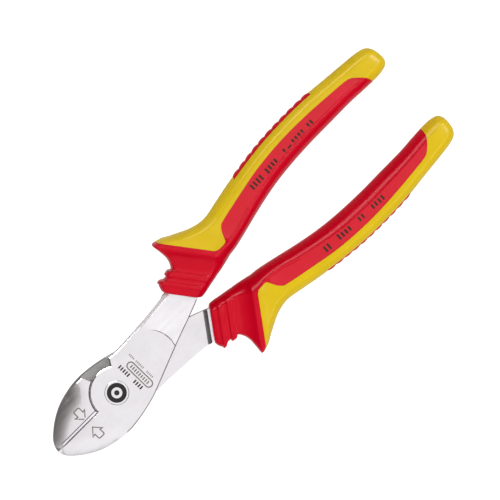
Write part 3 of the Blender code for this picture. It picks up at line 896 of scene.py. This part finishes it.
# ---------------------------------------------------------------------------------------------
# Camera
# ---------------------------------------------------------------------------------------------
ROLL = math.radians(45.6)
TILT = math.radians(5.5)
VIEW_WIDTH = 177.1
CAMERA_DISTANCE = 1600.0
SENSOR_WIDTH = 36.0
CENTRE_RIGHT, CENTRE_UP = 47.39, 50.05
forward = Vector((0, -math.sin(TILT), -math.cos(TILT)))
along_x = Vector((1, 0, 0))
along_y = Vector((0, math.cos(TILT), -math.sin(TILT)))
right = math.cos(ROLL) * along_x - math.sin(ROLL) * along_y
up = math.sin(ROLL) * along_x + math.cos(ROLL) * along_y
centre = Vector((0, 0, MID_Z)) + CENTRE_RIGHT * right + CENTRE_UP * up
spot = centre - forward * CAMERA_DISTANCE
camera_data = bpy.data.cameras.new("camera")
camera_data.type = "PERSP"
camera_data.sensor_width = SENSOR_WIDTH
camera_data.lens = SENSOR_WIDTH * CAMERA_DISTANCE / VIEW_WIDTH
camera_data.clip_end = 100.0
camera = link("camera", camera_data)
basis = Matrix((right, up, -forward)).transposed().to_4x4()
camera.matrix_world = Matrix.Translation(spot * MM) @ basis
bpy.context.scene.camera = camera

# ---------------------------------------------------------------------------------------------
# Floor and light
# ---------------------------------------------------------------------------------------------
FLOOR_Z = CAD_BOUNDS[0][2] - 0.0002
FLOOR_HALF = 3.0
FLOOR_GLOW = 0.88
floor_mesh = bpy.data.meshes.new("floor")
corners = [(-1, -1), (1, -1), (1, 1), (-1, 1)]
floor_mesh.from_pydata([(x * FLOOR_HALF, y * FLOOR_HALF, FLOOR_Z) for x, y in corners], [], [(0, 1, 2, 3)])
floor = link("floor", floor_mesh)
floor.visible_glossy = False
paper, tree, shader = new_material("paper")
shader.inputs["Roughness"].default_value = 0.9
grain = node(tree, "ShaderNodeTexNoise", Scale=40.0)
tree.links.new(ramp(tree, grain.outputs["Fac"], 0.44, 0.46), shader.inputs["Base Color"])
shader.inputs["Emission Color"].default_value = (1.0, 1.0, 1.0, 1.0)
shader.inputs["Emission Strength"].default_value = FLOOR_GLOW
floor_mesh.materials.append(paper)


def area(name, location, target, width, length, power, gloss_only=True):
    """A light that faces the target. It lights gloss only, or matt colour only."""
    data = bpy.data.lights.new(name, "AREA")
    data.shape = "RECTANGLE"
    data.energy = power
    data.size = length
    data.size_y = width
    lamp = link(name, data)
    away = (Vector(location) - Vector(target)).normalized()
    side = Vector((0, 0, 1)).cross(away).normalized()
    turn = Matrix((side, away.cross(side), away)).transposed().to_4x4()
    lamp.matrix_world = Matrix.Translation(location) @ turn
    lamp.visible_diffuse = not gloss_only
    lamp.visible_glossy = gloss_only


# The strips make the long reflections. The overhead light fills the plastics.
area("far_strip", (0.40, 0.95, 0.50), (0.10, 0, 0), 0.40, 1.0, 12.0)
area("near_strip", (0.45, -0.85, 0.72), (0.12, 0, 0), 0.14, 0.9, 3.0)
area("tail_strip", (1.15, 0.0, 0.95), (0.08, 0, 0), 0.24, 0.9, 26.0)
area("overhead", (0.06, 0.35, 1.30), (0.06, 0, 0), 0.90, 0.9, 8.5, gloss_only=False)

world = bpy.data.worlds.new("studio")
bpy.context.scene.world = world
world.use_nodes = True
tree = world.node_tree
background = tree.nodes["Background"]
direction = tree.nodes.new("ShaderNodeTexCoord")
split = tree.nodes.new("ShaderNodeSeparateXYZ")
tree.links.new(direction.outputs["Generated"], split.inputs["Vector"])


WARM_GREEN, WARM_BLUE = 0.94, 0.90


def shade(output, stops, scale, offset):
    """Brightness along one component of the direction, warmer where it is darker.

    Each stop is a position and a brightness.
    """
    ranged = tree.nodes.new("ShaderNodeMath")
    ranged.operation = "MULTIPLY_ADD"
    ranged.inputs[1].default_value = scale
    ranged.inputs[2].default_value = offset
    tree.links.new(output, ranged.inputs[0])
    made = tree.nodes.new("ShaderNodeValToRGB")
    elements = made.color_ramp.elements
    while len(elements) < len(stops):
        elements.new(0.5)
    for element, (position, value) in zip(elements, stops):
        element.position = position * scale + offset
        green = value * (WARM_GREEN + (1 - WARM_GREEN) * value)
        blue = value * (WARM_BLUE + (1 - WARM_BLUE) * value)
        element.color = (value, green, blue, 1.0)
    tree.links.new(ranged.outputs["Value"], made.inputs["Fac"])
    return made.outputs["Color"]


# The surroundings darken towards DARK_SIDE, and they have a dark band at the horizon.
ACROSS = [(-1.0, 1.05), (-0.35, 1.03), (-0.08, 1.0), (0.10, 0.88), (0.32, 0.50), (0.60, 0.20), (1.0, 0.10)]
HEIGHT = [(-1.0, 0.60), (-0.25, 0.45), (-0.02, 0.10), (0.16, 0.15), (0.36, 0.95), (0.5, 1.0)]
DARK_SIDE = Vector((-0.26, 0.966, 0.0))
across = tree.nodes.new("ShaderNodeVectorMath")
across.operation = "DOT_PRODUCT"
across.inputs[1].default_value = DARK_SIDE
tree.links.new(direction.outputs["Generated"], across.inputs[0])
product = tree.nodes.new("ShaderNodeVectorMath")
product.operation = "MULTIPLY"
tree.links.new(shade(across.outputs["Value"], ACROSS, 0.5, 0.5), product.inputs[0])
tree.links.new(shade(split.outputs["Z"], HEIGHT, 0.5, 0.5), product.inputs[1])
tree.links.new(product.outputs["Vector"], background.inputs["Color"])
background.inputs["Strength"].default_value = 1.0
bpy.context.scene.view_settings.view_transform = "Standard"
